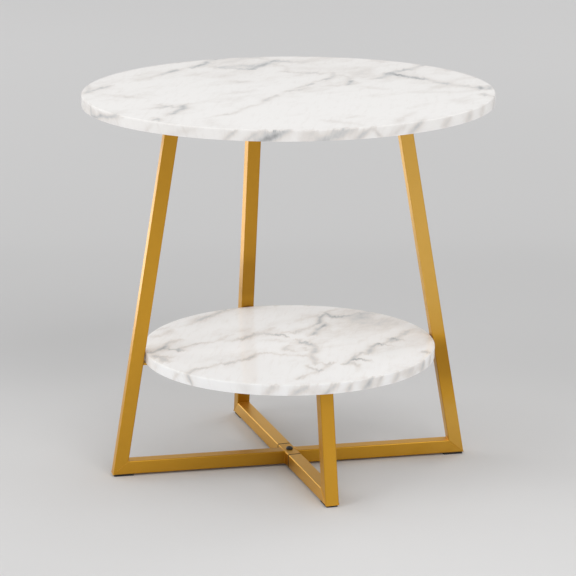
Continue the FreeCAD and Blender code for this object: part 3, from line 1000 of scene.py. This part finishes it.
@dataclass
class Underframe:
    """The crossed frame of gold square tube: its pieces from the part, its welds and its seals.

    Attributes:
        tube: Width of the tube.
        corner: Radius of the tube's edges.
        bar_top: Height of the floor bars' upper faces.
        lean: Angle of the legs from upright.
        skew: Angle by which the side bars are turned from square.
        tall_reach: Distance of a tall leg's outer lower end from the middle.
        short_reach: The same of the front leg.
        bead: Radius of a weld.
        seal: Radius of a seal.
        sink: Share of that radius that lies below the tube's faces.
        seam: Distance of the open seams from the middle.
        painted_shade_coats: Coat of each leg and bar, whose tones are painted shade and painted
            reflections: dark bands by the shelf, bars deeper towards the crossing.
    """

    tube: float = 0.020
    corner: float = 0.0015
    bar_top: float = 0.023
    lean: float = 9.5
    skew: float = 6.0
    tall_reach: float = 0.26890
    short_reach: float = 0.20753
    bead: float = 0.00055
    seal: float = 0.0013
    sink: float = 0.8
    seam: float = 0.0265
    # Each tone curve paints shade and reflections onto one leg or bar: the right leg paler with a dark
    # band by the shelf's rim, the back leg deeper with a dark band above the shelf, the side bars deeper
    # towards the crossing, the front and back bars paler.
    painted_shade_coats: tuple[tuple[str, GoldCoat], ...] = (
        ("left_leg", GoldCoat(Run.HEIGHT, (
            (0.0, 0.45), (0.1, 0.47), (0.34, 0.46), (0.46, 0.31), (0.57, 0.29),
        ))),
        ("right_leg", GoldCoat(Run.HEIGHT, (
            (0.0, 0.66), (0.06, 0.7), (0.086, 0.58), (0.117, 0.3), (0.146, 0.06), (0.165, 0.04),
            (0.176, 0.12), (0.187, 0.4), (0.2, 0.66), (0.25, 0.8), (0.32, 0.84), (0.47, 0.8), (0.57, 0.76),
        ))),
        ("back_leg", GoldCoat(Run.HEIGHT, (
            (0.0, 0.24), (0.19, 0.24), (0.205, 0.16), (0.218, 0.0), (0.235, 0.0), (0.252, 0.0),
            (0.27, 0.14), (0.3, 0.25), (0.45, 0.26), (0.57, 0.22),
        ))),
        ("front_leg", GoldCoat(Run.HEIGHT, ((0.0, 0.5), (0.05, 0.46), (0.18, 0.34)))),
        ("left_bar", GoldCoat(Run.REACH, (
            (0.0, 0.15), (0.045, 0.2), (0.12, 0.33), (0.2, 0.46), (0.28, 0.48),
        ))),
        ("right_bar", GoldCoat(Run.REACH, ((0.0, 0.42), (0.05, 0.45), (0.28, 0.57)))),
        ("front_bar", GoldCoat(Run.REACH, ((0.0, 0.64), (0.28, 0.68)))),
        ("back_bar", GoldCoat(Run.REACH, ((0.0, 0.64), (0.28, 0.7)))),
    )

    @property
    def bar_middle(self) -> float:
        """Height of the floor bars' middle."""
        return self.bar_top - self.tube / 2.0

    def build(self, gold: Material) -> None:
        """Dresses the steel, runs the welds and lays the seals.

        Args:
            gold: Material of the coated steel.
        """
        for node in SLOTS[Slot.GOLD]:
            dress(frame["nodes"][node], gold)
        # Each leg and bar gets its own copy of the gold, with painted shade and painted reflections along
        # it.
        for node, coat in self.painted_shade_coats:
            dress(frame["nodes"][node], coat.material(f"{node}_gold"))
        self.weld_feet(gold)
        self.weld_crossing(gold)
        self.seal_seams()

    def ring(self, length: float, width: float, bead: float) -> Object:
        """Models a bead that runs round the end of a tube, lying flat.

        Args:
            length: Length of the ring along X.
            width: Width of the ring along Y.
            bead: Radius of the bead.

        Returns:
            The ring, about the origin.
        """
        bpy.ops.object.select_all(action="DESELECT")
        bpy.ops.mesh.primitive_plane_add(size=1.0, location=(0.0, 0.0, 0.0))
        bpy.ops.object.mode_set(mode="EDIT")
        bpy.ops.mesh.select_all(action="SELECT")
        bpy.ops.transform.resize(value=(length, width, 1.0))
        bpy.ops.mesh.bevel(offset=self.corner, segments=4, affect="VERTICES")
        bpy.ops.mesh.select_all(action="SELECT")
        bpy.ops.mesh.delete(type="ONLY_FACE")
        bpy.ops.object.mode_set(mode="OBJECT")
        bpy.ops.object.convert(target="CURVE")
        line = bpy.context.active_object
        line.data.dimensions = "3D"
        line.data.bevel_depth = bead
        line.data.bevel_resolution = 2
        bpy.ops.object.convert(target="MESH")
        bpy.ops.object.mode_set(mode="EDIT")
        close_up()
        bpy.ops.object.shade_smooth()
        return bpy.context.active_object

    def weld_feet(self, gold: Material) -> None:
        """Runs a weld round the mitre of each foot.

        Args:
            gold: Material of the coated steel.
        """
        slope = math.radians((90.0 - self.lean) / 2.0)
        run = self.tube / math.tan(slope)
        rings = copies(self.ring(self.tube / math.sin(slope), self.tube, self.bead), len(Arm))
        for piece, arm in zip(rings, Arm):
            reach = self.short_reach if arm is Arm.FRONT else self.tall_reach
            turn = Matrix.Rotation(math.radians(arm.value), 4, "Z")
            place = Matrix.Translation((reach - run / 2.0, 0.0, self.bar_middle))
            piece.matrix_world = turn @ place @ Matrix.Rotation(slope, 4, "Y")
            settle(piece, f"{arm.name.lower()}_foot_weld", gold)

    def weld_crossing(self, gold: Material) -> None:
        """Runs a weld where each side bar meets the hub.

        Args:
            gold: Material of the coated steel.
        """
        width = self.tube / math.cos(math.radians(self.skew))
        shift = self.tube / 2.0 * math.tan(math.radians(self.skew))
        rings = copies(self.ring(self.tube, width, self.bead), 2)
        for piece, arm, side in zip(rings, (Arm.LEFT, Arm.RIGHT), (-1.0, 1.0)):
            place = Matrix.Translation((side * self.tube / 2.0, -side * shift, self.bar_middle))
            piece.matrix_world = place @ Matrix.Rotation(math.pi / 2.0, 4, "Y")
            settle(piece, f"{arm.name.lower()}_crossing_weld", gold)

    def seal_seams(self) -> None:
        """Lays a rubber seal in the open seam at each end of the hub."""
        side = self.tube - 2.0 * self.sink * self.seal
        rubber = FOOT_RUBBER.material("seam_rubber")
        rings = copies(self.ring(side, side, self.seal), 2)
        for piece, arm, way in zip(rings, (Arm.FRONT, Arm.BACK), (-1.0, 1.0)):
            place = Matrix.Translation((0.0, way * self.seam, self.bar_middle))
            piece.matrix_world = place @ Matrix.Rotation(math.pi / 2.0, 4, "X")
            settle(piece, f"{arm.name.lower()}_seam_seal", rubber)


@dataclass
class Fixings:
    """Bolts, threaded inserts, the nut and the foot pads, all from the part.

    Attributes:
        finishes: Finish of each material slot.
    """

    finishes: tuple[tuple[Slot, Finish], ...] = (
        (Slot.BLACK, BLACK_OXIDE), (Slot.ZINC, ZINC_PLATE), (Slot.RUBBER, FOOT_RUBBER),
    )

    def build(self) -> None:
        """Dresses the small pieces."""
        for slot, finish in self.finishes:
            material = finish.material(slot.value)
            for node in SLOTS[slot]:
                dress(frame["nodes"][node], material)


@dataclass(frozen=True)
class Softbox:
    """A soft rectangular lamp that points at the table.

    Attributes:
        name: Name of the lamp.
        bearing: Bearing from the table.
        height: Angle above the base.
        power: Power in watts.
        distance: Distance from the table.
        size: Width and height.
        base: Height from which the angle is taken.
        spread: Angle into which the light is gathered.
        aim: Height that the lamp points at.
    """

    name: str
    bearing: float
    height: float
    power: float
    distance: float = 8.0
    size: tuple[float, float] = (4.0, 2.6)
    base: float = 0.9
    spread: float = 180.0
    aim: float = 0.3

    def hang(self) -> None:
        """Adds the lamp, unseen by the camera."""
        light = bpy.data.lights.new(self.name, "AREA")
        light.shape = "RECTANGLE"
        light.size, light.size_y = self.size
        light.energy = self.power
        light.spread = math.radians(self.spread)
        lamp = bpy.data.objects.new(self.name, light)
        bpy.context.scene.collection.objects.link(lamp)
        turn = math.radians(self.bearing)
        rise = math.radians(self.height)
        aim = Vector((0.0, 0.0, self.aim))
        way = Vector((math.cos(rise) * math.cos(turn), math.cos(rise) * math.sin(turn), math.sin(rise)))
        lamp.location = way * self.distance + Vector((0.0, 0.0, self.base))
        lamp.rotation_euler = (aim - lamp.location).to_track_quat("-Z", "Y").to_euler()
        lamp.visible_camera = False


@dataclass
class Studio:
    """Pale floor that turns up into a low backdrop all round, soft lamps and the camera.

    Attributes:
        floor_radius: Distance of the backdrop from the table.
        wall_height: Height of the backdrop.
        cove: Radius in which the floor turns up.
        floor: Middle colour of the floor.
        deepest: Factor on that colour at tone 0.
        palest: Factor on that colour at tone 1.
        sky: Strength of the even light all round.
        painted_light_grade: Places behind the table with the floor's tone there, as painted light and
            shade: paler in front, darkest about a metre behind the table.
        lamps: Lamps of the studio.
        eye: Place of the camera.
        heading: Angle by which it looks from +Y towards +X.
        dip: Angle by which it looks down.
        roll: Angle by which it is turned about its axis.
        lens: Focal length in millimetres.
        sensor: Width of its sensor in millimetres.
    """

    floor_radius: float = 13.0
    wall_height: float = 2.2
    cove: float = 2.0
    floor: Colour = (0.68, 0.677, 0.677)
    deepest: float = 0.78
    palest: float = 1.1
    sky: float = 0.67
    painted_light_grade: tuple[tuple[float, float], ...] = (
        (-4.0, 0.6), (-2.2, 0.92), (-1.5, 0.95), (-0.4, 0.88), (-0.15, 0.71), (0.0, 0.56), (0.3, 0.46),
        (1.0, 0.12), (1.5, 0.26), (2.3, 0.38), (4.3, 0.60), (6.0, 0.63),
    )
    lamps: tuple[Softbox, ...] = (
        Softbox("back_left_softbox", 138.0, 7.0, 152.0),
        Softbox("left_low_softbox", 160.0, 7.0, 20.0),
        Softbox("left_softbox", 190.0, 38.0, 96.0),
        Softbox("front_softbox", 280.0, 38.0, 144.0),
        Softbox("front_fill", 284.0, 7.0, 26.0, size=(6.0, 3.6)),
        Softbox("right_softbox", 30.0, 38.0, 76.0),
        Softbox("low_strip", 108.0, 0.0, 0.18, distance=0.92, size=(0.6, 0.33), base=0.215, spread=70.0),
    )
    eye: Place = (-1.07051, -3.44328, 1.22113)
    heading: float = 17.25
    dip: float = 14.727
    roll: float = -0.192
    lens: float = 157.31
    sensor: float = 36.0

    def build(self) -> None:
        """Builds the stage, the lamps and the camera."""
        self.lay_floor()
        self.light()
        self.set_camera()

    def lay_floor(self) -> None:
        """Models the floor and backdrop as one round shell."""
        middle = self.wall_height / 2.0
        drum = Drum(self.floor_radius, self.wall_height, middle, 1.0, self.cove, steps=16, sides=128)
        shell = drum.model()
        shell.name = "backdrop"
        bpy.ops.object.mode_set(mode="EDIT")
        bpy.ops.mesh.select_all(action="SELECT")
        bpy.ops.mesh.flip_normals()
        bpy.ops.object.mode_set(mode="OBJECT")
        bpy.ops.object.shade_smooth()
        dress(shell, self.floor_material())

    def floor_material(self) -> Material:
        """Builds the matt pale grey of the floor, with painted light and shade: paler in front of the
        table, darkest about a metre behind it.

        Returns:
            The material.
        """
        graph = Graph("pale_floor")
        heading = math.radians(self.heading)
        back = graph.vector("DOT_PRODUCT", graph.place, (math.sin(heading), math.cos(heading), 0.0))
        # The tone along the view is painted light and shade over the floor.
        tone = graph.profile(back, self.painted_light_grade)
        drift = graph.noise(graph.place, scale=0.7)
        tone = graph.math("ADD", tone, graph.math("MULTIPLY_ADD", drift, 0.08, -0.04), clamp=True)
        deep = tuple(value * self.deepest for value in self.floor)
        pale = tuple(value * self.palest for value in self.floor)
        colour = graph.ramp(tone, ((0.0, deep), (1.0, pale)))
        return graph.shade(Base_Color=colour, Roughness=0.95, Specular_IOR_Level=0.05)

    def light(self) -> None:
        """Hangs the lamps and sets the even light all round."""
        world = bpy.data.worlds.new("studio")
        bpy.context.scene.world = world
        world.use_nodes = True
        background = world.node_tree.nodes["Background"]
        background.inputs["Color"].default_value = (1.0, 1.0, 1.0, 1.0)
        background.inputs["Strength"].default_value = self.sky
        for lamp in self.lamps:
            lamp.hang()

    def set_camera(self) -> None:
        """Sets up the camera at the photograph's angle."""
        view = bpy.data.cameras.new("camera")
        view.sensor_width = self.sensor
        view.lens = self.lens
        eye = bpy.data.objects.new("camera", view)
        bpy.context.scene.collection.objects.link(eye)
        turn = Matrix.Rotation(math.radians(-self.heading), 4, "Z")
        tilt = Matrix.Rotation(math.radians(90.0 - self.dip), 4, "X")
        lean = Matrix.Rotation(math.radians(self.roll), 4, "Z")
        eye.matrix_world = Matrix.Translation(self.eye) @ turn @ tilt @ lean
        bpy.context.scene.camera = eye


def nodes_by_slot() -> dict[Slot, list[str]]:
    """Sorts the part's nodes by their material slot.

    Returns:
        Names of the nodes in each slot.
    """
    slots: dict[Slot, list[str]] = {slot: [] for slot in Slot}
    for entry in frame["record"]["subparts"]:
        slots[Slot(entry["material_slot"])].append(entry["node"])
    return slots


SLOTS = nodes_by_slot()


def main() -> None:
    """Builds and dresses the table, then the studio around it, and reports the pieces."""
    logging.basicConfig(level=logging.INFO, format="%(message)s")
    bpy.context.scene.view_settings.view_transform = "Standard"
    gold = GoldCoat().material("gold_coat")
    core = MELAMINE.material("melamine")
    top_film = MarbleFilm(TOP_SURFACE, Vein.layout(TOP_RADIUS, TOP_LINES, TOP_RIM_MARKS))
    shelf_veins = Vein.layout(SHELF_RADIUS, SHELF_LINES, SHELF_RIM_MARKS)
    # The shelf's white is paler and cooler than the top's: painted light against the top's shadow and
    # against the warm light from the gold legs.
    shelf_film = MarbleFilm(SHELF_SURFACE, shelf_veins, (0.75, 0.65), 0.04, ground=(0.948, 0.943, 0.94))
    Board("table_top", TOP_RADIUS, TOP_SURFACE, top_film).build(core)
    Board("shelf", SHELF_RADIUS, SHELF_SURFACE, shelf_film).build(core)
    Underframe().build(gold)
    Fixings().build()
    Studio().build()
    for piece in bpy.context.scene.objects:
        if piece.type == "MESH":
            LOG.info("%s: %d faces", piece.name, len(piece.data.polygons))


if __name__ == "__main__":
    main()
